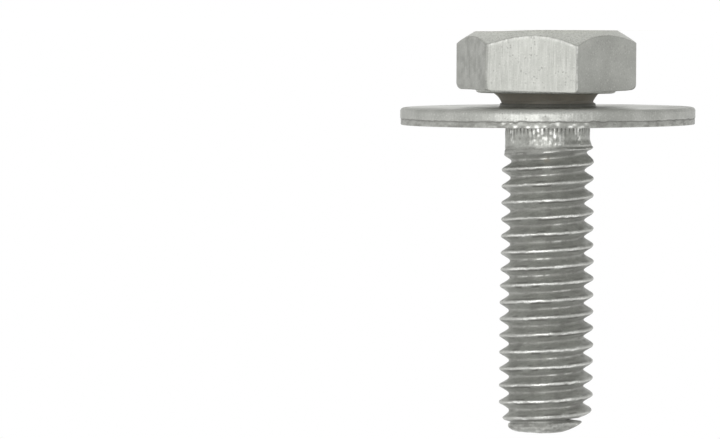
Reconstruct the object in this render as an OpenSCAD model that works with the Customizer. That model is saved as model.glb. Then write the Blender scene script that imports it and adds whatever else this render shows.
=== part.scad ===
/* [Hexagon head] */
// Distance across the flats of the hexagon
across_flats = 9.6; // [8.5:0.1:14]
// Height of the head from its flat top to its bearing face
head_h = 3.8; // [3:0.1:8]
// How far each corner of the hexagon is cut back by the cold-heading die
corner_trim = 0.05; // [0.02:0.01:0.3]
// Distance from the flats in to the rim of the flat round top
top_inset = 0.52; // [0.2:0.02:1]
// Slope of the chamfer that runs from the flat top out to the corners
chamfer_angle = 31; // [15:1:40]
// Radius that rounds the lower ends of the corners
corner_round = 0.43; // [0.1:0.01:0.6]
// Height of the round washer face under the hexagon
face_h = 0.22; // [0.1:0.01:0.5]
// Distance from the flats in to the rim of the washer face
face_inset = 0.57; // [0.4:0.02:0.8]
// Width and height of the bevel at the rim of the washer face
face_bevel = 0.07; // [0.02:0.01:0.09]

/* [Shank] */
// Length from the bearing face to the tip
screw_l = 20.4; // [14:0.1:60]
// Length from the bearing face to the start of the thread
plain_l = 3.1; // [2.8:0.1:6]
// How far the foot of the neck's flare stands out from the shoulder
flare_w = 0.36; // [0.1:0.02:0.42]
// Height of the flare under the bearing face
flare_h = 0.46; // [0.2:0.02:0.8]
// Height of the round shoulder that the washer turns on
shoulder_l = 0.7; // [0.4:0.05:1.2]
// Depth of the knurled band's ribs below the thread's crests
band_drop = 0.31; // [0.2:0.01:0.34]
// Height of each rib of the knurled band
rib_h = 0.07; // [0.03:0.01:0.12]
// Number of ribs around the knurled band
rib_count = 60; // [24:2:80]

/* [Thread] */
// Diameter over the thread's crests
thread_d = 5.72; // [5.2:0.02:8]
// Distance from one crest to the next
pitch = 1; // [0.7:0.05:1.25]
// Depth of the thread from crest to root
thread_depth = 0.58; // [0.4:0.02:0.75]
// How far the first crest stands out from the blank, as metal that the rolling pushed up
first_rise = 0.22; // [0.1:0.01:0.3]
// Length over which the thread grows from there to its full depth
run_in = 0.8; // [0.5:0.1:2]
// Length over which the crests taper towards the tip
taper_l = 1.5; // [0.5:0.1:3]
// How far the crests taper in at the end of that length
taper_w = 0.62; // [0.2:0.02:1]
// Diameter of the flat end of the tip
tip_d = 3.5; // [2:0.1:4]
// Angle round the axis at which a crest passes the head's flat top, if it ran on
thread_start = 199; // [0:1:359]

/* [Washer] */
// Outer diameter of the washer
washer_d = 17.8; // [14:0.1:30]
// Thickness of the washer
washer_t = 1; // [0.6:0.05:1.6]
// Height of the burr that stands round the hole on the head's side
burr_h = 0.26; // [0.1:0.02:0.4]
// Width of the burr at its foot
burr_w = 0.14; // [0.06:0.01:0.3]
// Radius of the rounding that the punch leaves on the rim, on the head's side
rim_round = 0.2; // [0.05:0.01:0.28]
// Width of the small break on the rim's other edge
rim_break = 0.05; // [0.02:0.01:0.1]

/* [Fits] */
// How far the thread's crests stand past the washer's hole, which keeps the washer on
keep = 0.035; // [0.02:0.005:0.05]
// Gap all round between the shoulder and the washer's hole
hole_gap = 0.04; // [0.02:0.005:0.08]
// Gap along the axis between the flare and the washer's burr
seat_gap = 0.14; // [0.03:0.01:0.2]

/* [Hidden] */
$fn = 96;

// The origin is the middle of the flat top of the head. The screw stands on that
// face, so heights run from 0 there to the tip.
bearing_z = head_h;
tip_z = head_h + screw_l;
band_end_z = bearing_z + plain_l;

// Radii of the head
flats_r = across_flats / 2;
corner_r = flats_r / cos(30) - corner_trim;
top_r = flats_r - top_inset;
chamfer_h = (corner_r - top_r) * tan(chamfer_angle);
face_r = flats_r - face_inset;
hexagon_h = head_h - face_h;

// Radii of the shank. The blank lies between the thread's crest and root, as the
// thread is rolled into it.
crest_r = thread_d / 2;
root_r = crest_r - thread_depth;
hole_r = crest_r - keep;
shoulder_r = hole_r - hole_gap;
band_r = crest_r - band_drop;
flare_end_z = bearing_z + flare_h;
shoulder_end_z = flare_end_z + shoulder_l;
// The thread starts on the blank, this far under the foot of the ribs. Where two of
// the screw's solids meet, one reaches into the other by the overlap.
under_ribs = 0.05;
overlap = 0.12;
blank_r = band_r - rib_h - under_ribs;
band_start_z = shoulder_end_z - overlap;
core_r = blank_r - overlap;
core_end_z = shoulder_end_z + (shoulder_r - core_r);

// Heights of the washer. Its burr sits under the flare, its hole on the shoulder.
burr_z = flare_end_z + seat_gap;
washer_top_z = burr_z + burr_h;
washer_end_z = washer_top_z + washer_t;
hole_bevel = 0.05;

// The thread is a strip of points wound round the axis, steps to a turn. Each pair
// here is one point of its section: the distance along the axis in pitches, and the
// height as a share of the depth, from a rounded crest down to a rounded root.
steps = 36;
section = [[0, 0.93], [0.08, 1], [0.16, 0.93], [0.47, 0.06], [0.57, 0], [0.67, 0.06]];
row = len(section);
crest_offset = section[1][0];
// The strip starts just past the band, and ends this many pitches before the tip
strip_gap = 0.02;
tip_gap = 0.12;
strip_z = band_end_z + strip_gap;
// Its first step is the one where its crest meets the winding set by thread_start
first_step = round(steps * (strip_z / pitch + crest_offset + thread_start / 360)) % steps;
last_row_end = section[row - 1][0];
strip_steps = floor(steps * ((tip_z - strip_z) / pitch - last_row_end - tip_gap));

function mix(a, b, share) = a + (b - a) * share;
function clamp(x) = max(0, min(1, x));

// Points of an arc, for profiles
function arc(x, y, r, from, to, parts) =
    [for (i = [0:parts]) let (a = mix(from, to, i / parts)) [x + r * cos(a), y + r * sin(a)]];

// Radius that the tapering crests keep within, at height z
function taper_r(z) =
    crest_r - taper_w * clamp((z - (tip_z - taper_l)) / taper_l);

// Radius of the thread's surface at height z, for a height within its section
function thread_r(z, height) =
    let (rise = clamp((z - band_end_z) / run_in))
    let (full = root_r + thread_depth * height)
    min(mix(blank_r + first_rise * height, full, rise), taper_r(z));

function on_circle(r, step, z) =
    let (a = 360 * step / steps)
    [r * cos(a), r * sin(a), z];

function strip_point(step, k) =
    let (z = strip_z + pitch * (step / steps + section[k][0]))
    on_circle(thread_r(z, section[k][1]), step + first_step, z);

module hexagon() {
    intersection() {
        linear_extrude(hexagon_h)
            polygon([for (i = [0:5]) flats_r / cos(30) * [cos(60 * i), sin(60 * i)]]);
        rotate_extrude()
            polygon(concat(
                [[0, 0], [top_r, 0], [corner_r, chamfer_h]],
                arc(corner_r - corner_round, hexagon_h - corner_round, corner_round, 0, 90, 6),
                [[0, hexagon_h]]
            ));
    }
}

// Washer face, flared neck and the round shoulder, as one turned form
module neck() {
    rotate_extrude()
        polygon([
            [0, chamfer_h],
            [face_r, chamfer_h],
            [face_r, bearing_z - face_bevel],
            [face_r - face_bevel, bearing_z],
            [shoulder_r + flare_w, bearing_z],
            [shoulder_r, flare_end_z],
            [shoulder_r, shoulder_end_z],
            [core_r, core_end_z],
            [0, core_end_z]
        ]);
}

// The band with fine ribs, which keeps the washer's burr from slipping on the blank
module knurled_band() {
    half = 180 / rib_count;
    translate([0, 0, band_start_z])
        linear_extrude(band_end_z - band_start_z)
            polygon([
                for (i = [0:2 * rib_count - 1])
                    let (r = i % 2 == 0 ? band_r : band_r - rib_h)
                    [r * cos(i * half), r * sin(i * half)]
            ]);
}

// A right-hand thread. The strip's quads are split into triangles, a ring closes it
// inside the band, another ring is the rim of the tip's flat end, and a fan of
// triangles fills the step where the strip starts and the one where it ends.
module thread() {
    strip = [for (s = [0:strip_steps]) for (k = [0:row - 1]) strip_point(s, k)];
    upper = len(strip);
    lower = upper + steps;
    upper_ring = [
        for (s = [0:steps - 1]) on_circle(blank_r, s + first_step, band_end_z - overlap)
    ];
    lower_ring = [for (s = [0:steps - 1]) on_circle(tip_d / 2, s + first_step, tip_z)];
    function at(s, k) = s * row + k;
    function top(s) = upper + s % steps;
    function end(s) = lower + s % steps;
    function quad(a, b, c, d) = [[a, b, c], [a, c, d]];
    last = row - 1;
    n = strip_steps;
    turn_back = n - steps;
    faces = concat(
        [for (s = [0:n - 1]) for (k = [0:last - 1])
            each quad(at(s, k), at(s, k + 1), at(s + 1, k + 1), at(s + 1, k))],
        [for (s = [0:turn_back - 1])
            each quad(at(s, last), at(s + steps, 0), at(s + steps + 1, 0), at(s + 1, last))],
        [for (s = [0:steps - 2])
            each quad(top(s), at(s, 0), at(s + 1, 0), top(s + 1))],
        [[at(steps - 1, 0), top(0), top(steps - 1)], [at(steps - 1, 0), at(0, 0), top(0)]],
        [for (k = [0:last - 1]) [at(steps - 1, 0), at(0, k + 1), at(0, k)]],
        [[at(steps - 1, 0), at(steps, 0), at(0, last)]],
        [for (s = [turn_back + 1:n - 1])
            each quad(at(s, last), end(s), end(s + 1), at(s + 1, last))],
        [[at(turn_back + 1, last), at(turn_back, last), at(n, 0)]],
        [for (k = [0:last - 1]) [at(turn_back + 1, last), at(n, k), at(n, k + 1)]],
        [[at(turn_back + 1, last), at(n, last), end(n)]],
        [[at(turn_back + 1, last), end(n), end(turn_back + 1)]],
        [[for (s = [0:steps - 1]) top(s)]],
        [[for (s = [steps - 1:-1:0]) end(s)]]
    );
    polyhedron(points = concat(strip, upper_ring, lower_ring), faces = faces, convexity = 20);
}

module screw() {
    color("#a9aaa6") {
        hexagon();
        neck();
        knurled_band();
        thread();
    }
}

// The punched washer, with its rounded rim and the burr towards the head
module washer() {
    outer_r = washer_d / 2;
    color("#c3c4be")
        rotate_extrude()
            polygon(concat(
                [
                    [hole_r, burr_z + hole_bevel],
                    [hole_r + hole_bevel, burr_z],
                    [hole_r + burr_w, washer_top_z]
                ],
                arc(outer_r - rim_round, washer_top_z + rim_round, rim_round, -90, 0, 5),
                [
                    [outer_r, washer_end_z - rim_break],
                    [outer_r - rim_break, washer_end_z],
                    [hole_r + hole_bevel, washer_end_z],
                    [hole_r, washer_end_z - hole_bevel]
                ]
            ));
}

screw();
washer();
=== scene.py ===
# %% [markdown]
# # A hexagon screw with a captive washer
# This notebook dresses a small machine screw: one cold-headed, thread-rolled piece of
# steel wire, and one large punched washer that turns freely under its head. The sizes come
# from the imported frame. Here the pieces get the details that the tools and the coat leave.

import math

import bmesh
import bpy
import numpy as np
from mathutils import Matrix, Vector


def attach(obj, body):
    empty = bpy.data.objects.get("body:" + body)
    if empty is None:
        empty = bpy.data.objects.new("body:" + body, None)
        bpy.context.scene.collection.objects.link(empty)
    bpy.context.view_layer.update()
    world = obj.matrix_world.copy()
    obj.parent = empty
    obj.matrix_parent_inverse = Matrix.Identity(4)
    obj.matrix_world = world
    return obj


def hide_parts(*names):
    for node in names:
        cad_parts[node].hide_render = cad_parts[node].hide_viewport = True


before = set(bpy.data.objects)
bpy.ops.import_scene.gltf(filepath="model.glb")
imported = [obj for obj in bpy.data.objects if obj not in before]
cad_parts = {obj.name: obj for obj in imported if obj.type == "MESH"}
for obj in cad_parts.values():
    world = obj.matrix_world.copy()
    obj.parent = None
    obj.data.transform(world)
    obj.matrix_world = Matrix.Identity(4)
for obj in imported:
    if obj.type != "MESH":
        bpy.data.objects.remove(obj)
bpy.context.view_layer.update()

# %% [markdown]
# ## Sizes
# The object is 24 mm long, and Blender works in metres. All shapes below are written in
# millimetres and turned to metres once, when a mesh is made. The values repeat the ones in
# the construction: the screw stands on the flat top of its head, and its tip points up.
# Only the washer is 0.03 mm smaller in radius, which leaves room for its rough rim.
# Words such as top and underside are meant as on a screw in use, head up, so they are the
# other way round here. A name that ends in _r is a radius, one in _z a height above the
# floor, and one in _h a height or a thickness by itself.

# %% Sizes in millimetres
MM = 0.001

# the head
head_h = 3.8
hexagon_h = 3.58
flats_r = 4.8
corner_r = 5.49
top_r = 4.28
chamfer_slope = math.tan(math.radians(31))
face_r = 4.23

# the shank
shoulder_r = 2.785
band_r = 2.55
band_end_z = 6.9
rib_h = 0.07
blank_r = 2.43

# the thread
crest_r = 2.86
root_r = 2.28
pitch = 1.0
crest_angle = 199
run_in = 0.8
tip_z = 24.2

# the washer
washer_r = 8.87
hole_r = 2.825
burr_z = 4.40
washer_top_z = 4.66
washer_end_z = 5.66
print("the head is", head_h, "mm high and the washer", round(washer_end_z - washer_top_z, 2), "mm thick")

# %% [markdown]
# ## The camera
# The photograph looks at the screw from the side, a touch above the head. The screw stands
# on its head here, so the camera is rolled by half a turn. It stays at the level of the floor
# and far away with a long lens, which keeps the sides of the shank parallel. It aims beside
# the screw, so that the screw stands in the right half of the picture.

# %% The camera
picture_width_px = 720
px_per_mm = 16.6
aim_beside_px = 187.1
aim_above_px = 190.6
camera_distance = 300
camera_height = 0.26
view_turn = math.radians(10.3)
lean = math.radians(0.3)

towards_screw = Vector((math.sin(view_turn), math.cos(view_turn), 0))
picture_right = towards_screw.cross(Vector((0, 0, -1)))
aim = picture_right * (-aim_beside_px / px_per_mm) + Vector((0, 0, aim_above_px / px_per_mm))
place = -towards_screw * camera_distance + Vector((0, 0, camera_height))
forward = (aim - place).normalized()
right = forward.cross(Vector((0, 0, -1))).normalized()
up = right.cross(forward)

camera_data = bpy.data.cameras.new("camera")
camera_data.sensor_width = 36
camera_data.lens = camera_distance * px_per_mm / picture_width_px * camera_data.sensor_width
camera_data.clip_start = 0.02
camera_data.clip_end = 20
camera = bpy.data.objects.new("camera", camera_data)
bpy.context.scene.collection.objects.link(camera)
turned = Matrix((right, up, -forward)).transposed() @ Matrix.Rotation(lean, 3, "Z")
camera.matrix_world = Matrix.Translation(place * MM) @ turned.to_4x4()
bpy.context.scene.camera = camera
print("lens", round(camera_data.lens, 1), "mm")

# %% [markdown]
# ## Where a detail lies
# Most details belong to one place: a side of the screw, a height, or a band beside an edge.
# Three small functions say where, each as a share from 0 to 1 that a depth or a colour can
# be multiplied by. They rise and fall smoothly, because a hard step would show as a seam.
# A fourth says how far an angle faces a side. Sides are angles round the axis in degrees,
# and the ones that matter are the front, which faces the camera, and the picture's right.

# %% Helpers for places
right_side = math.degrees(math.atan2(picture_right.y, picture_right.x))
front_side = right_side + 90


def mix(a, b, share):
    """From a at a share of 0 to b at a share of 1."""
    return a + (b - a) * share


def ease(x):
    """0 up to 0, 1 from 1 on, and a smooth rise between."""
    x = np.clip(x, 0, 1)
    return x * x * (3 - 2 * x)


def rising(x, start, over):
    """0 up to the start, then a smooth rise to 1 over that distance."""
    return ease((x - start) / over)


def falling(x, end, over):
    """1 at first, then a smooth fall over that distance, to 0 at the end."""
    return ease((end - x) / over)


def close_to(x, middle, reach, over):
    """1 around the middle, and a smooth fall over that distance, to 0 at the reach."""
    return ease((reach - np.abs(x - middle)) / over)


def facing(angle, side):
    """1 where an angle in degrees faces that side, 0 across from it and -1 behind."""
    return np.cos(np.radians(angle - side))


print("the side at the right in the picture is at", round(right_side, 1), "degrees")

# %% [markdown]
# ## Randomness that can be repeated
# Worn metal is never even, so most steps below need random values. They have to be smooth, to
# close round the axis without a seam, and to be the same on every run. A small table of
# seeded random numbers, read with eased steps between its cells, does all three.

# %% Helper for smooth random values
table_depth = 61


def uneven(u, v, seed, cells):
    """Smooth random values from -1 to 1 that repeat after that many cells of u."""
    table = np.random.default_rng(seed).uniform(-1, 1, (cells, table_depth))
    i, j = np.floor(u).astype(int), np.floor(v).astype(int)
    a, b = ease(u - i), ease(v - j)
    this_row, next_row = j % table_depth, (j + 1) % table_depth
    near = mix(table[i % cells, this_row], table[(i + 1) % cells, this_row], a)
    far = mix(table[i % cells, next_row], table[(i + 1) % cells, next_row], a)
    return mix(near, far, b)


print("one random value:", round(float(uneven(np.array(0.5), np.array(0.5), 1, 5)), 3))

# %% [markdown]
# ## One skin from rows and columns
# Both pieces are round, so each is a grid: rows run along the profile and columns run round
# the axis. A grid gives even quads with sharp control over every edge, where a boolean would
# leave long thin triangles. Rows may run together, as at the middle of an end face, and the
# points that meet there are merged, so the mesh is closed.
# Each point also carries marks between 0 and 1, such as wear, which the material reads.

# %% Round a corner, and make a closed mesh from a grid
merge_within_m = 2e-7


def bend(before, corner, after, parts=4):
    """Points (radius, height) that round a corner from one point to another."""
    points = []
    for t in np.linspace(0, 1, parts):
        r, z = (
            (1 - t) ** 2 * before[k] + 2 * t * (1 - t) * corner[k] + t ** 2 * after[k]
            for k in (0, 1)
        )
        points.append((r, z))
    return points


def skin(name, radius, height, turn, marks, aside=0):
    """A piece from grids of radius and height in mm and of the turn round the axis in degrees.
    Rows may stand aside from the axis, by a distance in mm towards +X."""
    angle = np.radians(turn)
    across, depth = radius * np.cos(angle) + aside, radius * np.sin(angle)
    points = np.stack([across, depth, np.broadcast_to(height, radius.shape)], axis=-1) * MM
    rows, columns = radius.shape
    index = np.arange(rows * columns).reshape(rows, columns)
    quads = np.stack([index[:-1, :-1], index[:-1, 1:], index[1:, 1:], index[1:, :-1]], axis=-1)
    mesh = bpy.data.meshes.new(name)
    mesh.from_pydata(points.reshape(-1, 3).tolist(), [], quads.reshape(-1, 4).tolist())
    for mark, values in marks.items():
        values = np.broadcast_to(values, radius.shape).astype(np.float32)
        mesh.attributes.new(mark, "FLOAT", "POINT").data.foreach_set("value", values.ravel())
    whole = bmesh.new()
    whole.from_mesh(mesh)
    bmesh.ops.remove_doubles(whole, verts=whole.verts, dist=merge_within_m)
    open_edges = sum(1 for edge in whole.edges if len(edge.link_faces) != 2)
    whole.to_mesh(mesh)
    whole.free()
    mesh.shade_smooth()
    piece = bpy.data.objects.new(name, mesh)
    bpy.context.scene.collection.objects.link(piece)
    print(name, len(mesh.polygons), "faces,", open_edges, "open edges")
    return piece


# %% [markdown]
# ## The hexagon head
# The head is forged cold between a punch and a die. The die gives flats whose corners are
# slightly cut back. So the wall's radius is worked out for every column as a soft minimum of
# the six flats and the round blank, which rounds the corners a little. A flat that faces
# away from a column is put far outside by a least cosine, so it has no part in it. The
# columns stand close together at the corners, where the edge has to stay crisp.

# %% Columns round the axis, and the wall of the hexagon
columns = 240
turn = np.linspace(0, 360, columns + 1)
near_corner = [0.3, 0.6, 1.0]
along_flat = np.linspace(1.5, 58.5, columns // 6 - 7)
sector = np.concatenate([[0], near_corner, along_flat, 60 - np.array(near_corner[::-1])])
hexagon_turn = np.concatenate([sector + 60 * side for side in range(6)] + [[360]])
corner_number = np.round(hexagon_turn / 60).astype(int) % 6
side_number = np.floor(hexagon_turn / 60).astype(int) % 6

edge_sharpness = 55
least_cosine = 0.5
walls = np.maximum(np.cos(np.radians(hexagon_turn[:, None] - np.arange(30, 390, 60))), least_cosine)
walls = np.column_stack([flats_r / walls, np.full(columns + 1, corner_r)])
wall_r = -np.log(np.exp(-walls * edge_sharpness).sum(axis=1)) / edge_sharpness
print("the hexagon is", round(2 * float(wall_r.max()), 2), "mm across its corners")

# %% [markdown]
# The punch gives the flat top with its 31 degree chamfer, which meets each flat in an arc.
# It never strikes quite square: the end falls away a little on one side, and the chamfer
# bulges towards some corners. At the other end, on the washer's side, the corners stay
# rounded, some more than others, because the metal doesn't quite fill the die, and at the
# front the hexagon is a little longer. Each of these is a height that depends on the radius
# and, by a small table, on the angle.

# %% Heights of the head's faces
chamfer_bulge = np.interp(hexagon_turn, np.arange(0, 361, 60),
                          [0.02, 0.05, 0.08, 0.02, 0.16, 0.05, 0.02])
corner_round = np.array([0.43, 0.36, 0.30, 0.40, 0.08, 0.13])[corner_number]
longer_h = np.interp(hexagon_turn, [180, 210, 240, 270, 300, 330], [0, 0.08, 0.14, 0.10, 0.04, 0])
hexagon_end_z = hexagon_h + longer_h
fall_h = 0.09
fall_reach_r = 3.5


def fall_away(r):
    """How far the head's end falls away on the side that the punch met last."""
    return fall_h * ease(r * -facing(hexagon_turn, right_side) / fall_reach_r)


def chamfer_z(r):
    """Height of the chamfer at that radius."""
    out = r - top_r
    return out * chamfer_slope + chamfer_bulge * np.maximum(out, 0) ** 2 + fall_away(r)


def under_z(r):
    """Height of the head's underside, which curves up towards the corners."""
    out = np.clip(r - (corner_r - corner_round), 0, corner_round * 0.98)
    return hexagon_end_z - corner_round + np.sqrt(corner_round ** 2 - out ** 2)


print("under the head the corners are rounded by", corner_round.min(), "to", corner_round.max(), "mm")

# %% [markdown]
# The rows run from the middle of the flat top outwards, over the chamfer, along the wall and
# back in under the head. Each edge is rounded over 0.035 mm, so it catches a thin line of
# light as a pressed edge does.

# %% Rows of the head
edge = 0.035
wall_rows = 16
rows = [(r, fall_away(r)) for r in (0, 0.7, 1.4, 2.1, 2.7, 3.2, 3.6, 3.9, 4.15, 4.25)]
rows += [(top_r, fall_away(top_r) + 0.006), (top_r + 0.05, chamfer_z(top_r + 0.05))]
for share in (0.15, 0.3, 0.45, 0.6, 0.75, 0.9):
    r = mix(top_r + 0.05, wall_r - edge, share)
    rows.append((r, chamfer_z(r)))
chamfer_row = len(rows)
rows += bend((wall_r - edge, chamfer_z(wall_r - edge)), (wall_r, chamfer_z(wall_r)),
             (wall_r, chamfer_z(wall_r) + edge))
for share in np.linspace(0, 1, wall_rows + 2)[1:-1]:
    rows.append((wall_r, mix(chamfer_z(wall_r) + edge, under_z(wall_r) - edge, share)))
under_row = len(rows)
rows += bend((wall_r, under_z(wall_r) - edge), (wall_r, under_z(wall_r)),
             (wall_r - edge, under_z(wall_r - edge)))
for share in (0.2, 0.4, 0.6, 0.8, 1):
    r = mix(wall_r - edge, face_r + 0.04, share)
    rows.append((r, under_z(r)))
head_rows = len(rows)
print("the head has", head_rows, "rows")

# %% [markdown]
# ## Washer face, neck and shoulder
# A low round face with a rounded rim stands out from the hexagon, and below it the neck
# narrows in a flare to the shoulder, on which the washer turns. All of it is turned form, so
# one radius and one height serve a whole row, apart from where the face meets the hexagon.

# %% Rows of the washer face, neck and shoulder
rows += bend((face_r + 0.02, hexagon_end_z), (face_r, hexagon_end_z),
             (face_r - 0.01, hexagon_end_z + 0.02), 3)
rows += bend((face_r - 0.01, hexagon_end_z + 0.03), (face_r - 0.02, head_h),
             (face_r - 0.36, head_h), 7)
face_end_row = len(rows)
rows += [(3.5, head_h), (3.3, head_h)]
rows += bend((3.18, head_h), (2.93, head_h + 0.17), (shoulder_r, head_h + 0.47), 8)
neck_row = len(rows)
rows += [(shoulder_r, z) for z in (4.38, 4.6, 4.9)] + [(2.77, 4.95), (2.62, 5.04)]
shoulder_rows = len(rows)
print("face, neck and shoulder have", shoulder_rows - head_rows, "rows")

# %% [markdown]
# ## The knurled band
# Fine ribs are rolled into the blank under the washer, 60 of them, so that the burr of its
# hole holds. They are deep and dark next to the washer. Towards the thread they are smeared
# flat, and on one side the metal swells out into the first crest. Four columns draw one rib:
# a narrow gap and a wide land.

# %% Rows of the knurled band
ribs = 60
smeared_share = 0.18
smear_h = 0.016
swell_h = 0.11
band_z = np.concatenate([[5.1, 5.35, 5.55], np.arange(5.65, 6.85, 0.07)])
land = np.tile([0.0, 0.9, 1.0, 0.9], ribs)
land = np.append(land, land[0])


def band_radius(z, angle):
    """Radius of the ribbed blank. The ribs fade out towards the thread, each at its own rate."""
    around = angle / 360 * ribs
    own_rate = 0.3 * uneven(around, around * 0 + 0.5, 11, ribs)
    deep = falling(z + own_rate, 6.45, 0.5)
    smear = smear_h * uneven(around * 1.5, around * 0 + z / 0.2, 12, ribs * 3 // 2)
    swell = swell_h * rising(z, 6.5, 0.4) * ease(1.2 * facing(angle, right_side))
    return band_r - rib_h * (1 - land) * mix(smeared_share, 1, deep) + smear + swell


for z in band_z:
    rows.append((band_radius(z, turn), z))
band_rows = len(rows)
print(ribs, "ribs on", band_rows - shoulder_rows, "rows")

# %% [markdown]
# ## The rolled thread
# Two flat dies press the thread into the blank, so no metal is cut away: the crests are
# pushed up and are never quite even. The rows follow the helix, and each crosses the last
# column exactly where the row one turn later starts, so a crest always runs along an edge of
# the mesh. Rows outside the thread's reach lie on its end and merge there.
# For each point, `away` says how far it is from the nearest crest, in pitches, and `along`
# how many turns it is along the helix. The first crest and notch are pushed along the axis
# where the blank swells.

# %% The thread's section and its rows
# distances from the crest to the root, in pitches
half_section = [0, 0.04, 0.08, 0.12, 0.16, 0.22, 0.32, 0.42, 0.5]
section = np.array(half_section + [1 - share for share in half_section[-2:0:-1]])
thread_end_z = 23.86
ripple_cells = 997
thread_lines = np.concatenate([turn_number + section for turn_number in range(6, 26)])
thread_z = pitch * (thread_lines[:, None] + (turn[None, :] - crest_angle) / 360)
thread_z = np.clip(thread_z, band_end_z, thread_end_z)
thread_turn = np.broadcast_to(turn, thread_z.shape)

to_right = facing(thread_turn, right_side)
to_front = facing(thread_turn, front_side)
left_share = (1 - to_right) / 2
right_share = ease(1.2 * to_right)

# where the first crest and notch lie beside their place, in mm, by height
first_shift = np.interp(thread_z, [6.9, 7.08, 7.29, 7.6, 7.9], [-0.16, -0.16, 0.13, 0.10, 0])
winding = thread_z / pitch - (thread_turn - crest_angle) / 360 + first_shift * right_share
crest = np.round(winding)
beside = winding - crest
away = np.abs(beside)
along = crest + (thread_turn - crest_angle) / 360


def ripple(per_turn, seed):
    """Random values that run along the crest, with that many cells to a turn."""
    return uneven(along * per_turn, along * 0 + 0.5, seed, ripple_cells)


print("the thread has", thread_z.shape[0], "rows")

# %% [markdown]
# On one side of the screw the dies closed fully and the crests are pointed. On the other they
# stay blunt, and blunter towards the tip than towards the head. So the section is given three
# times, each as heights at the distances of half_section from the crest, and mixed.

# %% Height of the section, from 0 at the root to 1 at the crest
blunt_most = 0.5
pointed = np.interp(away, half_section, [1, 0.985, 0.93, 0.83, 0.72, 0.55, 0.28, 0.05, 0])
blunt_to_head = np.interp(away, half_section, [1, 0.985, 0.945, 0.87, 0.77, 0.60, 0.29, 0.05, 0])
blunt_to_tip = np.interp(away, half_section, [1, 0.985, 0.945, 0.87, 0.78, 0.62, 0.33, 0.09, 0])
blunt = np.where(beside < 0, blunt_to_head, blunt_to_tip)
profile = mix(pointed, blunt, blunt_most * ease(0.55 + 0.55 * to_right))
print("blunt is fuller by up to", round(float((blunt_to_tip - pointed).max()), 2), "of the depth")

# %% [markdown]
# The rolling grows to full depth over the first turn. Until then the crest is only metal that
# was pushed up on the blank, and it can't stand out further than the blank allows. Core and
# crests also lie up to a tenth of a millimetre further in than in the construction, mostly on
# the left, as the dies aren't quite parallel. The last groove is deep, because the blank is
# tapered at the tip.

# %% Radius of core and crests
left_in = 0.055 * falling(thread_z, 16.5, 2.5) * left_share
left_core_in = 0.04 * rising(thread_z, 18, 3) * left_share
first_groove_in = 0.05 * falling(thread_z, 8.4, 0.4) * left_share
last_groove_in = 0.42 * rising(thread_z, 22.9, 0.7)
last_groove_right_in = 0.13 * rising(thread_z, 23.2, 0.3) * to_right
core_r = root_r - 0.028 - 0.012 * to_right - left_in - left_core_in - first_groove_in
core_r = core_r - last_groove_in - last_groove_right_in

crests_in = 0.03 + 0.035 * falling(thread_z, 15, 8) + left_in
tip_taper = 0.60 * rising(thread_z, 22.6, 1.5) - 0.10 * rising(thread_z, 22.9, 0.4) * left_share
taper = crests_in + tip_taper
full_r = core_r + (crest_r - taper - core_r) * profile
print("the last groove is up to", round(float(last_groove_in.max()), 2), "mm deeper")

# %% Growth of the thread, from the blank to full depth
pushed_up_h = 0.31
left_start_r = 2.55
left_limit_r = 2.57 + 0.25 * rising(thread_z, 7.35, 0.9)
start_r = mix(left_start_r, blank_r + pushed_up_h * profile, right_share)
grown = rising(thread_z, band_end_z + 0.1, run_in)
blank_limit = mix(left_limit_r, crest_r, right_share)
thread_r = np.minimum(mix(start_r, full_r, grown), blank_limit)
print("the thread's crests reach a radius of", round(float(thread_r.max()), 2), "mm")

# %% [markdown]
# The wire was cropped before it was rolled. The crop leaves a stub past the last groove, with
# a narrow slot round it that is deepest on one side, and a thin ridge where the blade slipped.

# %% Stub, slot and ridge at the tip
slot_z = 23.56 - 0.10 * to_right - 0.12 * to_front
ridge_z = 23.70 - 0.2 * to_right
slot_w = 0.07
slot_depth = 0.12 * (1 + 3 * ease(to_right))
ridge_w = 0.06
ridge_h = 0.03
stub_r = 2.22 - 0.05 * to_right
slot = close_to(thread_z, slot_z - 0.02, 1.4 * slot_w, slot_w)
tip_ridge = close_to(thread_z, ridge_z, ridge_w, ridge_w) * ease(2 * to_right)
thread_r = mix(thread_r, stub_r, rising(thread_z, slot_z, 0.1))
thread_r = thread_r - slot_depth * slot + ridge_h * tip_ridge
print("the slot is", round(float(slot_depth.min()), 2), "to", round(float(slot_depth.max()), 2), "mm deep")

# %% [markdown]
# Crests get knocked and the dies pick up scale. So the crests have nicks and a slow swell, the
# whole thread has a fine roughness of a few thousandths of a millimetre, and the crest line
# wanders up and down by up to 0.04 mm, in waves of four lengths. Where the thread begins, all
# of that fades in from the blank.

# %% Nicks, roughness and waves of the thread
at_crest = falling(away, 0.13, 0.13)
near_crest = falling(away, 0.34, 0.34)
nicks = rising(ripple(29, 21), 0.3, 0.5)
thread_r = thread_r - 0.035 * nicks * at_crest + 0.014 * ripple(13, 22) * near_crest
thread_r = thread_r + 0.007 * uneven(thread_turn / 3, thread_z / 0.13, 23, 120)
band_end_r = np.broadcast_to(band_radius(np.array(band_end_z), turn), thread_r.shape)
thread_r = mix(band_end_r, thread_r, rising(thread_z, band_end_z, 0.1))

# height in mm, number of cells to a turn, and seed
waves = [(0.018, 9, 24), (0.014, 27, 25), (0.018, 61, 26), (0.018, 103, 27)]
wander = sum(height * ripple(per_turn, seed) for height, per_turn, seed in waves)
inside = np.minimum(thread_z - band_end_z, thread_end_z - thread_z)
thread_z = thread_z + wander * near_crest * rising(inside, 0, 0.2)
print("the crest line wanders by up to", round(float(np.abs(wander).max()), 3), "mm")

# %% [markdown]
# ## The tip
# The cropping blade leaves the end slanted on one side. Cutting the rows off at the slant
# would pile them up on each other, so what lies above it is squeezed into a thin layer under
# it instead. The end itself is a rounded, slightly uneven stub with a shallow dish.

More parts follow.
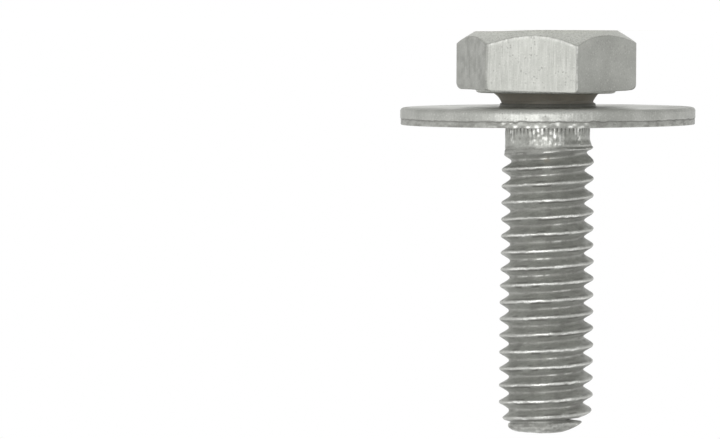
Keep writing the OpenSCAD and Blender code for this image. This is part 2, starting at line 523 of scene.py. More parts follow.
# %% Rows of the tip
slant_start_r = 0.2
slant_curve = 0.137
squeezed_h = 0.06


def slanted_end(z, r, share_right):
    """Heights squeezed under the slant that the cropping blade leaves on one side of the tip."""
    cut_z = tip_z - 0.01 - slant_curve * np.maximum(r * share_right - slant_start_r, 0) ** 2
    start_z = cut_z - squeezed_h
    above = np.maximum(z - start_z, 0)
    return np.minimum(z, start_z) + above * squeezed_h / (tip_z - start_z)


thread_z = slanted_end(thread_z, thread_r, to_right)
# share of the radius, and rise in mm
tip_shape = [(0.99, 0.08), (0.965, 0.15), (0.92, 0.22), (0.85, 0.28), (0.77, 0.32),
             (0.70, 0.335), (0.62, 0.33), (0.45, 0.31), (0.25, 0.30), (0, 0.30)]
lump_h = 0.02
tip_r, tip_rise = [], []
for share, rise in tip_shape:
    lump = uneven(turn / 15, turn * 0 + 4 * share, 31, 24)
    tip_r.append(thread_r[-1] * share)
    tip_rise.append(slanted_end(thread_end_z + rise, tip_r[-1], to_right[-1])
                    + lump_h * share * lump * ease(rise / 0.2))
print("the tip ends at", round(float(np.max(tip_rise)), 2), "mm")

# %% [markdown]
# ## Marks for the finish
# The coat is worn where parts touch and rub: on the crests of the thread and on the corners of the head.
# Some places are also lighter or darker by light and shade painted into the colour: painted highlights on
# the crests and at the bottom of the grooves, painted light on the chamfer and on the rim of the washer
# face, and painted shade in the grooves, in the slot at the tip, between the ribs and where the neck meets
# the washer. The neck and the laps close beside the crests are darker too. These places are known here,
# while the shape is made, so they are written into the mesh as marks and the material only has to read
# them. The wear mark is bare metal together with that painted light, the grime mark is dark dirt together
# with that painted shade, `drawn` is a face with streaks and pits from the die, and `stained` is a brown
# film. All rows are put together first. The head's rows follow the hexagon's columns and the rest even
# ones, so the columns change over under the head.

# %% All rows of the screw, and empty marks
def whole_row(values):
    """A whole row from one value, or from one for each column."""
    return np.broadcast_to(values, (columns + 1,))


all_r = np.concatenate([np.stack([whole_row(r) for r, _ in rows]), thread_r, np.stack(tip_r)])
all_z = np.concatenate([np.stack([whole_row(z) for _, z in rows]), thread_z, np.stack(tip_rise)])
row_number = np.arange(len(all_r))[:, None]
changed_over = ease((row_number - under_row) / (neck_row - under_row))
all_turn = mix(hexagon_turn[None, :], turn[None, :], changed_over)

# the wear mark also carries painted light, the grime mark also painted shade
wear_and_painted_light = np.zeros_like(all_r)
grime_and_painted_shade = np.zeros_like(all_r)
drawn = np.zeros_like(all_r)
stained = np.zeros_like(all_r)
head = slice(0, under_row)
face = slice(head_rows, face_end_row)
neck = slice(face_end_row, shoulder_rows)
band = slice(shoulder_rows, band_rows)
thread = slice(band_rows, band_rows + len(thread_r))
print("the screw has", len(all_r), "rows and", columns, "columns")

# %% [markdown]
# ### The head
# The six flats and corners are not alike: the tables give each its own share, in the order of the angle,
# so the fifth flat is the one that faces the camera. Corners and arcs have chips of bare metal. The end
# and the chamfer are evenly lighter, partly smoother from the punch and partly painted light, for the
# light from the head's side that the floor blocks here. The rim of the washer face is lighter with painted
# light too, against the shade in its recess under the hexagon. The neck is brown and a little dark, and it
# is darker with painted shade where it meets the washer.

# %% Marks of the head and the neck
struck_corner = np.array([0.5, 0.2, 0.8, 0.3, 0.8, 0.1])[corner_number]
struck_arc = np.array([0.3, 0.6, 0.4, 0.10, 0.6, 0.10])[side_number]
streaky = np.array([0.5, 0.35, 0.6, 0.10, 1.0, 0.65])[side_number]
blotchy = np.array([0.10, 0.12, 0.05, 0.04, 0.03, 0.28])[side_number]

on_wall = (np.arange(under_row) >= chamfer_row + 2)[:, None]
corner_gap = np.radians(np.abs((hexagon_turn + 30) % 60 - 30)) * corner_r
arc_gap = all_z[head] - chamfer_z(wall_r)
chips = ease(0.5 + 0.8 * uneven(all_turn[head] / 1.5, all_z[head] / 0.12, 41, columns))
at_corner = falling(corner_gap, 0.065, 0.045) * on_wall * struck_corner
at_arc = close_to(arc_gap, 0.01, 0.07, 0.07) * struck_arc
wear_and_painted_light[head] = np.maximum(0.9 * at_corner * chips, at_arc * mix(0.45, 1, chips))
# painted light: the end and the chamfer are lighter, for the light from the head's side that the floor
# blocks
wear_and_painted_light[1:chamfer_row] = np.maximum(wear_and_painted_light[1:chamfer_row], 0.42)
# painted light: the rim of the washer face is lighter, against the shade in its recess
wear_and_painted_light[face] = 0.65

blotches = ease(uneven(all_turn[head] / 4, all_z[head] / 0.35, 45, 90) + 0.3)
drawn[head] = on_wall * streaky
grime_and_painted_shade[head] = on_wall * blotchy * blotches
grime_and_painted_shade[neck] = 0.12
# painted shade where the neck meets the washer, and on the shoulder inside its hole
grime_and_painted_shade[neck_row - 1:shoulder_rows] = 0.58
stained[neck] = 0.45
print("bare metal on", round(100 * float((wear_and_painted_light[head] > 0.5).mean()), 1), "% of the head's points")

# %% [markdown]
# ### The band
# The gaps between the ribs are dark at their deep end, next to the washer, which is painted shade. The
# lands are burnished bright, but only in a few patches round the band, where the dies slipped.

# %% Marks of the band
# middle and reach of each patch, in degrees
patches = [(271, 9), (247, 9), (214, 5), (165, 10), (110, 7), (62, 12), (20, 6), (318, 4)]
patch = np.zeros_like(turn)
for middle, reach in patches:
    patch = np.maximum(patch, close_to(turn, middle, 1.6 * reach, reach))
band_around = all_turn[band] / 360 * ribs
# painted shade in the deep gaps between the ribs, next to the washer
gap_dark = (1 - land) * falling(all_z[band], 6.35, 0.5)
spots = rising(uneven(band_around, all_z[band] / 0.25, 44, ribs), 0.1, 0.5)
burnished = rising(uneven(band_around * 2, all_z[band] / 0.15, 43, ribs * 2), -0.15, 0.35)
grime_and_painted_shade[band] = gap_dark + 0.24 * spots
wear_and_painted_light[band] = mix(0.4, 1, land) * burnished * mix(0.05, 0.75, patch)
print("bright patches on", round(100 * float((patch > 0.5).mean())), "% of the band")

# %% [markdown]
# ### The thread
# A crest's bright line is about a tenth of a millimetre wide: bare metal, and partly a painted highlight.
# Its two edges wander by themselves, it is broken here and there, and it is strongest in front, where the
# painted highlight of the front lamp lies, and behind, which mirrors it. At the sides the crests are only
# a little paler. On the left, the first crest has only its edge towards the tip. The grooves have short
# bright dashes along their bottom, which are painted highlights in front and behind, and the flanks have
# pale marks along the rolling.

# %% Bright marks of the thread
# painted highlight: 1 in front and behind, 0 at the sides; it sets how bright the crest lines and the
# groove dashes are
rub_and_sheen = rising(np.cos(np.radians(2 * (thread_turn - front_side))), -0.9, 1.5)
first_turn = falling(thread_z, 7.6, 0.15)
begun = rising(thread_z, band_end_z, 0.2)

edge_to_tip = 0.080 + 0.060 * ripple(71, 57)
edge_to_head = 0.064 + 0.035 * ripple(59, 51)
line_width = np.where(beside < 0, edge_to_head, edge_to_tip) * mix(0.75, 1.15, rub_and_sheen)
line = falling(away, line_width, 0.035)
first_edge = close_to(beside, 0.12, 0.048, 0.04) * ease(ripple(47, 58) / 0.25)
line = mix(line, first_edge, first_turn * (1 - right_share))
broken = mix(0.35, 1, rising(ripple(31, 52), -0.4, 0.5)) * mix(0.5, 1, ease(ripple(9, 56) + 0.5))
dashes = rising(ripple(61, 59), -0.2, 0.4) * rising(ripple(9, 53), -0.2, 0.4)
# painted highlights: bright dashes at the bottom of the grooves
root_line = (away > 0.47) * dashes * rub_and_sheen ** 2
paler = rising(uneven(along * 23, winding * 13, 50, ripple_cells), 0.1, 0.5) * (1 - at_crest)

# bare crests with their painted highlight, the painted dashes, paler crests at the sides and pale flank
# marks
bright_marks = [line * broken * mix(0.1, 1, rub_and_sheen), 0.45 * root_line,
                0.30 * (1 - rub_and_sheen) * at_crest, 0.16 * paler]
wear_and_painted_light[thread] = np.maximum(np.maximum.reduce(bright_marks) * begun, 0.6 * tip_ridge)
print("bare metal on", round(100 * float((wear_and_painted_light[thread] > 0.5).mean()), 1), "% of the thread's points")

# %% [markdown]
# Dark lines run close beside the crests: laps where the pushed-up metal folded over, and painted shade
# under the crests' edges, mostly on the side towards the tip. The grooves get darker towards their bottom,
# which is painted shade, the flanks have dark marks along the rolling too, and the first turn is dark as a
# whole. The slot round the stub is dark with painted shade. One stretch of the first groove has a brown
# film.

# %% Dark marks of the thread
# dark lines beside the crests: laps, and painted shade under the crests' edges
lap_and_shade_to_tip = close_to(beside, 0.13, 0.063, 0.045) * rising(ripple(29, 54), -0.25, 0.4)
lap_and_shade_to_head = close_to(beside, -0.13, 0.063, 0.045) * rising(ripple(31, 55), -0.05, 0.4)
laps_and_shade = np.maximum(lap_and_shade_to_tip, 0.8 * lap_and_shade_to_head) * (1 - line * broken)
laps_and_shade = laps_and_shade * mix(0.6, 1, rub_and_sheen) * (1 - 0.8 * first_turn)

# painted shade, darker towards the bottom of the grooves
in_groove = mix(0.05, 0.18, rising(away, 0.3, 0.15)) + 0.25 * (away > 0.47)
in_groove = in_groove * (1 - root_line) + 0.04 * (1 - rub_and_sheen) * near_crest
in_first_turn = 0.42 * first_turn * (1 - line) * (1 - 0.4 * right_share)
rolled = rising(uneven(along * 31, winding * 12, 49, ripple_cells), 0.15, 0.5) * (1 - at_crest)
in_groove = np.maximum(in_groove, in_first_turn) + 0.30 * rolled
# painted shade in the slot round the stub
grime_and_painted_shade[thread] = np.maximum(np.maximum(laps_and_shade, in_groove) * begun, 0.6 * slot)

first_root = close_to(thread_z, 7.79, 0.12, 0.12) * close_to(thread_turn, 266, 16.8, 14)
stained[thread] = 0.7 * first_root * rising(ripple(41, 48), -0.2, 0.4)
print("laps on", round(100 * float((laps_and_shade > 0.5).mean()), 1), "% of the thread's points")

# %% [markdown]
# ### The tip, and the whole screw
# The stub is scuffed and dirty in small spots, but not its end face. Then the piece is made.
# The head of a cold-headed screw is never quite centred: here it stands 0.12 mm aside, and the
# neck brings that back to the shank.

# %% Put the screw together
on_stub = rising(all_z, 23.55, 0.1) * rising(all_r, 1.6, 0.3)
scuffs = rising(uneven(all_turn / 8, all_z / 0.06, 46, 45), 0.3, 0.35)
dirt_spots = rising(uneven(all_turn / 6, all_z / 0.08, 47, 60), 0.1, 0.4)
wear_and_painted_light = np.maximum(wear_and_painted_light, 0.35 * on_stub * scuffs)
grime_and_painted_shade = np.maximum(grime_and_painted_shade, on_stub * (0.15 + 0.35 * dirt_spots))

head_aside = 0.12
neck_aside = 0.05
brought_back = rising(row_number, face_end_row, 8)
aside = np.where(row_number < neck_row, mix(head_aside, neck_aside, brought_back), 0)
screw = skin("screw_body", all_r, all_z, all_turn,
             {"wear_and_painted_light": wear_and_painted_light, "grime_and_painted_shade": grime_and_painted_shade, "drawn": drawn, "stained": stained}, aside)

# %% [markdown]
# ## The washer
# The washer is punched from sheet in one stroke, and its rim shows it. On the side that the
# punch entered, the edge is drawn down round. Then comes a smooth burnished stretch, where
# the punch sheared the metal, with fine marks along the stroke. At about three quarters of
# the depth the sheet broke away and left a torn, rough zone. A burr stands round the hole.
# The profile runs from the hole over the burr and the top face, which faces the head, to the
# rim, and back along the underside to where it began.

# %% Profile of the washer, from the hole to the tear
drawn_down_h = 0.2
tear_z = 5.33
profile_points = [(hole_r, burr_z + 0.06)] + bend(
    (hole_r, burr_z + 0.05), (hole_r, burr_z), (hole_r + 0.04, burr_z + 0.02), 3)
profile_points += [(hole_r + 0.05, burr_z + 0.13), (hole_r + 0.13, washer_top_z - 0.02)]
top_radii = (3.05, 3.3, 3.7, 4.2, 4.8, 5.5, 6.2, 6.9, 7.5, 8.0, 8.3, 8.5)
profile_points += [(r, washer_top_z) for r in top_radii]
profile_points += bend((washer_r - 0.24, washer_top_z), (washer_r - 0.02, washer_top_z + 0.01),
                       (washer_r, washer_top_z + drawn_down_h), 8)[1:]
rim_start = len(profile_points)
profile_points += [(washer_r, z) for z in np.arange(4.92, tear_z - 0.02, 0.06)]
tear_row = len(profile_points)
print("the washer's edge is drawn down by", drawn_down_h, "mm and torn from", tear_z, "mm on")

# %% Profile of the washer, from the tear back to the hole
profile_points += [(washer_r, z) for z in np.arange(tear_z, washer_end_z - 0.05, 0.045)]
profile_points += bend((washer_r, washer_end_z - 0.05), (washer_r, washer_end_z),
                       (washer_r - 0.06, washer_end_z), 4)
rim_end = len(profile_points)
under_radii = (8.75, 8.55, 8.2, 7.6, 6.9, 6.2, 5.5, 4.8, 4.2, 3.7, 3.3, 3.0)
profile_points += [(r, washer_end_z) for r in under_radii]
profile_points += bend((hole_r + 0.06, washer_end_z), (hole_r, washer_end_z),
                       (hole_r, washer_end_z - 0.06), 4)
profile_points += [(hole_r, z) for z in (5.4, 5.1, 4.8, 4.55)] + [profile_points[0]]

washer_columns = 720
washer_turn = np.linspace(0, 360, washer_columns + 1)
grid = (len(profile_points), washer_columns + 1)
w_r = np.broadcast_to(np.array([p[0] for p in profile_points])[:, None], grid)
w_z = np.broadcast_to(np.array([p[1] for p in profile_points])[:, None], grid)
w_turn = np.broadcast_to(washer_turn, grid)
w_row = np.arange(grid[0])[:, None]
print("the washer has", grid[0], "rows")

# %% [markdown]
# How the metal sheared changes round the rim: two stretches are burnished and have a rough,
# ragged tear, and the rest is milder. The tear's edge wanders, the torn zone is sunk and has
# two sizes of grain, and its lip stands out past the underside in places.

# %% Shape of the washer's rim
def round_the_rim(step, seed):
    """Random values round the washer, in cells of that many degrees."""
    return uneven(washer_turn / step, washer_turn * 0, seed, int(360 / step))


def degrees_from(side):
    """How many degrees each column of the washer is away from a side."""
    return np.abs((washer_turn - side + 180) % 360 - 180)


burnish_front = falling(degrees_from(260), 22, 5)
burnish_back = falling(degrees_from(95), 33, 8)
burnish = np.maximum(burnish_front, 0.8 * burnish_back)
roughly = mix(0.35, 1, burnish)

torn = ease((w_row - tear_row + 1) / 2) * ease((rim_end + 1 - w_row) / 3)
coarse = uneven(w_turn / 1.6, w_z / 0.11, 61, 225)
fine = uneven(w_turn, w_z / 0.06, 62, 360)
ragged = 0.049 * round_the_rim(2, 63) + 0.028 * round_the_rim(1, 64)
w_z = w_z + ragged * mix(0.4, 1, roughly) * close_to(w_row, tear_row, 3, 3)
w_r = w_r - torn * (0.03 + roughly * (0.022 * coarse + 0.016 * fine))
w_r = w_r - 0.04 * close_to(w_row, tear_row, 1.2, 1.2)
lip = close_to(w_row, rim_end - 2, 3, 3)
w_z = w_z + lip * (0.03 + 0.05 * (roughly - 0.35) * ease(round_the_rim(2.5, 65) + 0.3))
on_rim = (w_row >= rim_start - 2) & (w_row < tear_row)
w_r = w_r + on_rim * 0.004 * round_the_rim(1, 66)
print("burnished on", round(100 * float((burnish > 0.5).mean())), "% of the rim")

# %% [markdown]
# The burnished stretch is bright but scuffed, with one dull spot at the front. The faces are lightly
# rubbed in large clouds. Dirt sits in the tear, and the hollows of the torn zone are darker. At the front,
# the drawn-down edge is lighter with painted light, against the dark of the head that it reflects, and
# round the hole the washer is dark with the painted shade of the neck and the head.

# %% Marks of the washer
scuffed = ease(0.75 + uneven(w_turn / 1.5, w_z / 0.25, 67, 240))
scuffed = scuffed * mix(0.6, 1, ease(0.5 + uneven(w_turn * 2, w_z * 0 + 0.5, 68, washer_columns)))
dull_spot = ease(1.5 - np.hypot((w_turn - 260.5) / 1.7, (w_z - 5.12) / 0.13))
below_edge = ease((w_row - rim_start + 2) / 1.5)
on_face = (w_row > 4) & (w_row < rim_start - 8)
clouds = ease(0.8 + uneven(w_turn / 15, w_r / 1.5, 69, 24))
torn_edges = ease((coarse - 0.1) / 0.5)
torn_hollows = ease((-coarse - 0.1) / 0.5)

w_wear_and_painted_light = 0.19 * on_rim * burnish * below_edge * scuffed * (1 - dull_spot)
w_wear_and_painted_light = w_wear_and_painted_light + 0.55 * on_face * clouds + torn * torn_edges * mix(0.1, 0.6, burnish_front)
w_grime_and_painted_shade = mix(0.6, 0.75, roughly) * close_to(w_row, tear_row, 1.3, 1.3)
w_grime_and_painted_shade = w_grime_and_painted_shade + torn * mix(0.2, 0.45, torn_hollows) * (1 - w_wear_and_painted_light)
# painted light on the drawn-down edge at the front
w_wear_and_painted_light = w_wear_and_painted_light + 0.14 * close_to(w_row, rim_start - 5, 4.5, 3) * burnish_front
w_grime_and_painted_shade = w_grime_and_painted_shade + 0.2 * dull_spot * on_rim
# painted shade of the neck and the head round the hole
w_grime_and_painted_shade = np.maximum(w_grime_and_painted_shade, (w_r < 3.05) * 0.65)
w_drawn = on_rim * (0.35 + 0.65 * burnish_front)
print("dirt on", round(100 * float((w_grime_and_painted_shade > 0.4).mean()), 1), "% of the washer's points")

# %% [markdown]
# The washer is loose on the shoulder, so it doesn't hang quite square. It leans by 0.4 degrees
# to one side and 0.5 degrees towards the camera, and sits 0.02 mm nearer to the head.

# %% Put the washer together
lean_right = 0.007
lean_front = 0.009
nearer = 0.02
to_the_right = w_r * facing(w_turn, right_side)
to_the_front = w_r * facing(w_turn, front_side)
w_z = w_z - lean_right * to_the_right + lean_front * to_the_front - nearer
washer = skin("washer_disc", w_r, w_z, w_turn, {"wear_and_painted_light": w_wear_and_painted_light, "grime_and_painted_shade": w_grime_and_painted_shade, "drawn": w_drawn})

# %% [markdown]
# ## Materials
# Both pieces are low carbon steel under a zinc flake coat a few micrometres thick. The coat
# is a fine crystal layer, neither mirror nor paint: it reflects softly and is grey in itself,
# so the shader is about half metallic and fairly rough. Colours are written as on a colour
# picker and turned to linear light by one function. One more function adds any node.

# %% Helpers for materials
def colour(code):
    """Linear red, green, blue and alpha from a hex code."""
    parts = [int(code[k:k + 2], 16) / 255 for k in (1, 3, 5)]
    return [p / 12.92 if p <= 0.04045 else ((p + 0.055) / 1.055) ** 2.4 for p in parts] + [1]


def per_mm(size_mm):
    """Scale of a texture whose grains are that large, on coordinates in metres."""
    return 1 / (size_mm * MM)


def add(tree, kind, settings=None, inputs=None):
    """A node with its settings, and with its inputs set to values or linked to sockets."""
    node = tree.nodes.new(kind)
    for name, value in (settings or {}).items():
        setattr(node, name, value)
    for name, value in (inputs or {}).items():
        if isinstance(value, bpy.types.NodeSocket):
            tree.links.new(value, node.inputs[name])
        else:
            node.inputs[name].default_value = value
    return node


print("mid grey in linear light:", [round(c, 3) for c in colour("#808080")[:3]])

# %% [markdown]
# ### Patterns of a zinc flake coat
# The screws are tumbled in zinc flakes and baked, and the tools had left their own marks on
# the steel under it. From large to small that gives: cloudy patches over a millimetre wide,
# where the coat is thicker; pits a sixth of a millimetre apart, some of them too shallow to
# see; flakes of about 0.1 mm, which are the grain of the surface; and fine streaks along the
# stroke of the forging and punching tools, 0.09 mm apart. The real flakes and streaks are
# finer than that. They are drawn as coarse as they need to be to show.

# %% Patterns
cloud_mm = 1.4
pit_gap_mm = 0.16
flake_mm = 0.10
streak_gap_mm = 0.09
along_the_stroke = 0.06


def coat_patterns(tree):
    """Sockets of the patterns by name, each from 0 to 1."""
    place = add(tree, "ShaderNodeTexCoord").outputs["Object"]
    upright = add(tree, "ShaderNodeMapping", {}, {
        "Vector": place, "Scale": (1, 1, along_the_stroke)})
    clouds = add(tree, "ShaderNodeTexNoise", {}, {
        "Vector": place, "Scale": per_mm(cloud_mm), "Detail": 3.0})
    streaks = add(tree, "ShaderNodeTexNoise", {}, {
        "Vector": upright.outputs[0], "Scale": per_mm(streak_gap_mm), "Detail": 2.0})
    grain = add(tree, "ShaderNodeTexNoise", {}, {
        "Vector": place, "Scale": per_mm(flake_mm), "Detail": 1.0})
    cells = add(tree, "ShaderNodeTexVoronoi", {}, {"Vector": place, "Scale": per_mm(pit_gap_mm)})
    depth = add(tree, "ShaderNodeSeparateColor", {}, {"Color": cells.outputs["Color"]})
    pit_size = add(tree, "ShaderNodeMapRange", {}, {
        "Value": depth.outputs[0], "From Min": 0.2, "From Max": 1.0, "To Min": 0.0, "To Max": 0.40})
    inside_pit = add(tree, "ShaderNodeMath", {"operation": "SUBTRACT"}, {
        0: pit_size.outputs[0], 1: cells.outputs["Distance"]})
    pits = add(tree, "ShaderNodeMath", {"operation": "MULTIPLY", "use_clamp": True}, {
        0: inside_pit.outputs[0], 1: 9.0})
    patterns = {"clouds": clouds, "streaks": streaks, "grain": grain, "pits": pits}
    return {pattern: node.outputs[0] for pattern, node in patterns.items()}


# %% [markdown]
# ### Zinc-coated steel
# The coat is a matte grey of its own. Over it come the patterns, then brighter metal where the coat is
# worn, which also carries the painted light and highlights, then the brown film of the neck, and last the
# dark layer, which is dirt and also the painted shade in corners, grooves and recesses. Each layer is a
# share between 0 and 1 and a colour. Streaks and pits show on drawn faces only, and the grain breaks up
# the bare metal with its painted light, and the film.

# %% How much each layer shows
def coat_shares(tree, patterns, marks):
    """Sockets from 0 to 1, by name, that say how much each layer of the coat shows."""
    grain, drawn = patterns["grain"], marks["drawn"]
    cloudy = add(tree, "ShaderNodeMapRange", {}, {
        "Value": patterns["clouds"], "From Min": 0.3, "From Max": 0.7})
    streak = add(tree, "ShaderNodeMapRange", {}, {
        "Value": patterns["streaks"], "From Min": 0.42, "From Max": 0.68, "To Max": 0.26})
    streak = add(tree, "ShaderNodeMath", {"operation": "MULTIPLY"}, {
        0: streak.outputs[0], 1: drawn})
    flake = add(tree, "ShaderNodeMapRange", {}, {
        "Value": grain, "From Min": 0.58, "From Max": 0.78, "To Max": 0.45})
    hollow = add(tree, "ShaderNodeMapRange", {}, {
        "Value": grain, "From Min": 0.42, "From Max": 0.22, "To Max": 0.25})
    pit = add(tree, "ShaderNodeMath", {"operation": "MULTIPLY"}, {0: patterns["pits"], 1: drawn})
    pit = add(tree, "ShaderNodeMath", {"operation": "MULTIPLY"}, {
        0: pit.outputs[0], 1: cloudy.outputs[0]})
    pit_dark = add(tree, "ShaderNodeMath", {"operation": "MULTIPLY"}, {0: pit.outputs[0], 1: 0.45})
    patchy = add(tree, "ShaderNodeMapRange", {}, {
        "Value": grain, "From Min": 0.32, "From Max": 0.56, "To Min": 0.5, "To Max": 1.0})
    # worn metal, and the painted light and highlights in the same mark
    worn_and_painted_light = add(tree, "ShaderNodeMath", {"operation": "MULTIPLY"}, {
        0: marks["wear_and_painted_light"], 1: patchy.outputs[0]})
    film = add(tree, "ShaderNodeMath", {"operation": "MULTIPLY"}, {
        0: marks["stained"], 1: patchy.outputs[0]})
    # dirt, and the painted shade in the same mark
    dirt_and_painted_shade = add(tree, "ShaderNodeMath", {"operation": "MULTIPLY", "use_clamp": True}, {
        0: marks["grime_and_painted_shade"], 1: 0.8})
    shares = {"cloudy": cloudy, "streak": streak, "flake": flake, "hollow": hollow, "pit": pit,
              "pit_dark": pit_dark, "worn_and_painted_light": worn_and_painted_light, "film": film, "dirt_and_painted_shade": dirt_and_painted_shade}
    return {layer: node.outputs[0] for layer, node in shares.items()}


# %% [markdown]
# Baked zinc flakes are fairly rough, and a little over half metallic to the eye. Worn places and those
# with painted light are smoother and more metallic than that, dirty ones and those with painted shade are
# rougher and less so. A bump gives the grain, the streaks and the pits their relief.

# %% Roughness, metal and relief of the coat
coat_rough = 0.40
coat_metal = 0.55
relief_mm = 0.012


def coat_finish(tree, grain, marks, share):
    """Sockets of the roughness, of how metallic the coat is, and of its relief."""
    rough = add(tree, "ShaderNodeMath", {"operation": "MULTIPLY_ADD"}, {
        0: grain, 1: 0.16, 2: coat_rough})
    rough = add(tree, "ShaderNodeMath", {"operation": "MULTIPLY_ADD"}, {
        0: marks["wear_and_painted_light"], 1: -0.12, 2: rough.outputs[0]})
    rough = add(tree, "ShaderNodeMath", {"operation": "MULTIPLY_ADD"}, {
        0: marks["grime_and_painted_shade"], 1: 0.2, 2: rough.outputs[0]})
    metal = add(tree, "ShaderNodeMath", {"operation": "MULTIPLY_ADD"}, {
        0: marks["wear_and_painted_light"], 1: 0.3, 2: coat_metal})
    metal = add(tree, "ShaderNodeMath", {"operation": "MULTIPLY_ADD", "use_clamp": True}, {
        0: marks["grime_and_painted_shade"], 1: -0.4, 2: metal.outputs[0]})
    relief = add(tree, "ShaderNodeMath", {"operation": "MULTIPLY_ADD"}, {
        0: grain, 1: 0.5, 2: share["streak"]})
    relief = add(tree, "ShaderNodeMath", {"operation": "MULTIPLY_ADD"}, {
        0: share["pit"], 1: -0.8, 2: relief.outputs[0]})
    bump = add(tree, "ShaderNodeBump", {}, {
        "Height": relief.outputs[0], "Distance": relief_mm * MM})
    return rough.outputs[0], metal.outputs[0], bump.outputs[0]


# %% [markdown]
# The layers are mixed one after the other in a loop, from the grey of the coat to the dirt.
# The washer is already on the screw when the two are coated, so they share the recipe. The
# washer's sheet was smoother than the screw's wire, so its streaks and flakes are a little
# paler.

# %% The coat of both pieces
def zinc_coated_steel(name, low, high, bright, bare_and_painted_light, dark, brown):
    """A material from the coat's grey where it is thin and thick, and from four more tones."""
    material = bpy.data.materials.new(name)
    material.use_nodes = True
    tree = material.node_tree
    tree.nodes.clear()
    patterns = coat_patterns(tree)
    marks = {
        mark: add(tree, "ShaderNodeAttribute", {"attribute_name": mark}).outputs["Fac"]
        for mark in ("wear_and_painted_light", "grime_and_painted_shade", "drawn", "stained")
    }
    share = coat_shares(tree, patterns, marks)
    tint = add(tree, "ShaderNodeMix", {"data_type": "RGBA"}, {
        0: share["cloudy"], 6: colour(low), 7: colour(high)})
    layers = [("streak", bright), ("flake", bright), ("hollow", dark), ("pit_dark", dark),
              ("worn_and_painted_light", bare_and_painted_light), ("film", brown), ("dirt_and_painted_shade", dark)]
    for layer, tone in layers:
        tint = add(tree, "ShaderNodeMix", {"data_type": "RGBA"}, {
            0: share[layer], 6: tint.outputs[2], 7: colour(tone)})
    rough, metal, relief = coat_finish(tree, patterns["grain"], marks, share)
    shader = add(tree, "ShaderNodeBsdfPrincipled", {}, {
        "Base Color": tint.outputs[2], "Metallic": metal, "Roughness": rough, "Normal": relief})
    add(tree, "ShaderNodeOutputMaterial", {}, {"Surface": shader.outputs[0]})
    print(name, "has", len(tree.nodes), "nodes")
    return material


screw.data.materials.append(zinc_coated_steel(
    "zinc_coated_forged_steel", low="#a1a29d", high="#b0b1ac", bright="#d6d7d2",
    bare_and_painted_light="#f2f3ef", dark="#54524d", brown="#ac9b84"))
washer.data.materials.append(zinc_coated_steel(
    "zinc_coated_punched_steel", low="#a0a19c", high="#b2b3ae", bright="#dcddd8",
    bare_and_painted_light="#f0f1ed", dark="#5a5853", brown="#ac9b84"))

# %% [markdown]
# ## Who carries what
# The dressed pieces take the place of the plain ones from the construction and move with
# the same bodies: the washer turns on the shoulder while the screw stays.

# %% Ride and replace
for piece, node in ((screw, "screw"), (washer, "washer")):
    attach(piece, node)
    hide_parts(node)
    print(piece.name, "rides on", node)

# %% [markdown]
# ## Floor, background and light
# The floor and the world are white to the camera and in reflections, by their own colour
# there, and pale grey for the light that they scatter. So the picture gets the white of a
# catalogue page, the object isn't lit up by it, and the floor still shows the shadow.

# %% What is seen directly
def seen_directly(tree):
    """1 for the camera's rays, for reflections and for what is seen through glass."""
    path = add(tree, "ShaderNodeLightPath")
    either = add(tree, "ShaderNodeMath", {"operation": "MAXIMUM"}, {
        0: path.outputs["Is Camera Ray"], 1: path.outputs["Is Glossy Ray"]})
    both = add(tree, "ShaderNodeMath", {"operation": "MAXIMUM"}, {
        0: either.outputs[0], 1: path.outputs["Is Transmission Ray"]})
    return both.outputs[0]


# %% [markdown]
# The floor is a disc of white card. The lamps and the world light it as they light any card,
# and a glow that only a direct look sees brings it up to white.

# %% Floor
floor_r_m = 0.2
card_glow = 0.6
floor_mesh = bpy.data.meshes.new("floor")
around = [math.radians(a) for a in range(0, 360, 5)]
floor_mesh.from_pydata([(floor_r_m * math.cos(a), floor_r_m * math.sin(a), 0) for a in around],
                       [], [tuple(range(len(around)))])
floor = bpy.data.objects.new("floor", floor_mesh)
bpy.context.scene.collection.objects.link(floor)

paper = bpy.data.materials.new("white_card")
paper.use_nodes = True
tree = paper.node_tree
tree.nodes.clear()
card = add(tree, "ShaderNodeBsdfDiffuse", {}, {"Color": colour("#e6e6e4")})
white_share = add(tree, "ShaderNodeMath", {"operation": "MULTIPLY"}, {
    0: seen_directly(tree), 1: card_glow})
glow = add(tree, "ShaderNodeEmission", {}, {
    "Color": (1, 1, 1, 1), "Strength": white_share.outputs[0]})
both = add(tree, "ShaderNodeAddShader", {}, {0: card.outputs[0], 1: glow.outputs[0]})
add(tree, "ShaderNodeOutputMaterial", {}, {"Surface": both.outputs[0]})
floor_mesh.materials.append(paper)
print("the floor is", 2 * floor_r_m, "m across")

# %% [markdown]
# The world is white where it is seen directly. For all other light it is a third of that,
# which fills the shadows evenly and leaves the modelling to the lamps.

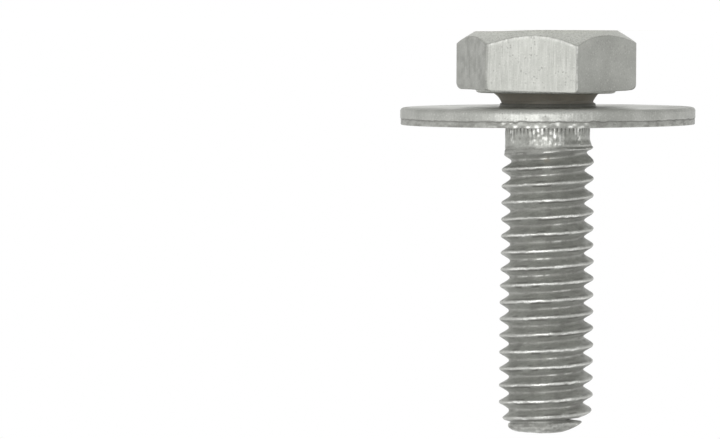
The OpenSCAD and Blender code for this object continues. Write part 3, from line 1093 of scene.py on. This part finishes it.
# %% World
scattered_light = 0.3
world = bpy.data.worlds.new("studio")
world.use_nodes = True
tree = world.node_tree
tree.nodes.clear()
shade = add(tree, "ShaderNodeBackground", {}, {"Color": (1, 1, 1, 1), "Strength": scattered_light})
white = add(tree, "ShaderNodeBackground", {}, {"Color": (1, 1, 1, 1), "Strength": 1.0})
sky = add(tree, "ShaderNodeMixShader", {}, {
    0: seen_directly(tree), 1: shade.outputs[0], 2: white.outputs[0]})
add(tree, "ShaderNodeOutputWorld", {}, {"Surface": sky.outputs[0]})
bpy.context.scene.world = world
print("the world scatters light at a strength of", scattered_light)

# %% [markdown]
# The lamps are large soft panels. The strongest stands close to the camera, a little to its
# left, so the front flat is the palest and the two beside it are darker. Weak ones behind
# and above keep the other sides readable.

# %% Lamps
camera_angle = math.degrees(math.atan2(-towards_screw.y, -towards_screw.x))
lit_point = Vector((0, 0, 10 * MM))


def softbox(name, turn_from_camera, rise, distance, width, height, watts):
    """A panel that looks at the middle of the screw; angles in degrees, lengths in metres."""
    data = bpy.data.lights.new(name, "AREA")
    data.shape = "RECTANGLE"
    data.size, data.size_y = width, height
    data.energy = watts
    lamp = bpy.data.objects.new(name, data)
    a, e = math.radians(camera_angle + turn_from_camera), math.radians(rise)
    way = Vector((math.cos(a) * math.cos(e), math.sin(a) * math.cos(e), math.sin(e)))
    lamp.location = way * distance + lit_point
    lamp.rotation_euler = (-way).to_track_quat("-Z", "Y").to_euler()
    bpy.context.scene.collection.objects.link(lamp)


softbox("front_panel", turn_from_camera=14, rise=6, distance=0.5, width=0.40, height=0.16, watts=1.15)
softbox("left_panel", turn_from_camera=100, rise=20, distance=0.6, width=0.35, height=0.35, watts=0.42)
softbox("right_panel", turn_from_camera=-110, rise=20, distance=0.6, width=0.35, height=0.35, watts=0.48)
softbox("top_panel", turn_from_camera=180, rise=65, distance=0.6, width=0.4, height=0.4, watts=0.5)
print(len(bpy.data.lights), "panels")

# %% [markdown]
# The Standard view shows a colour as it is written.

bpy.context.scene.view_settings.view_transform = "Standard"
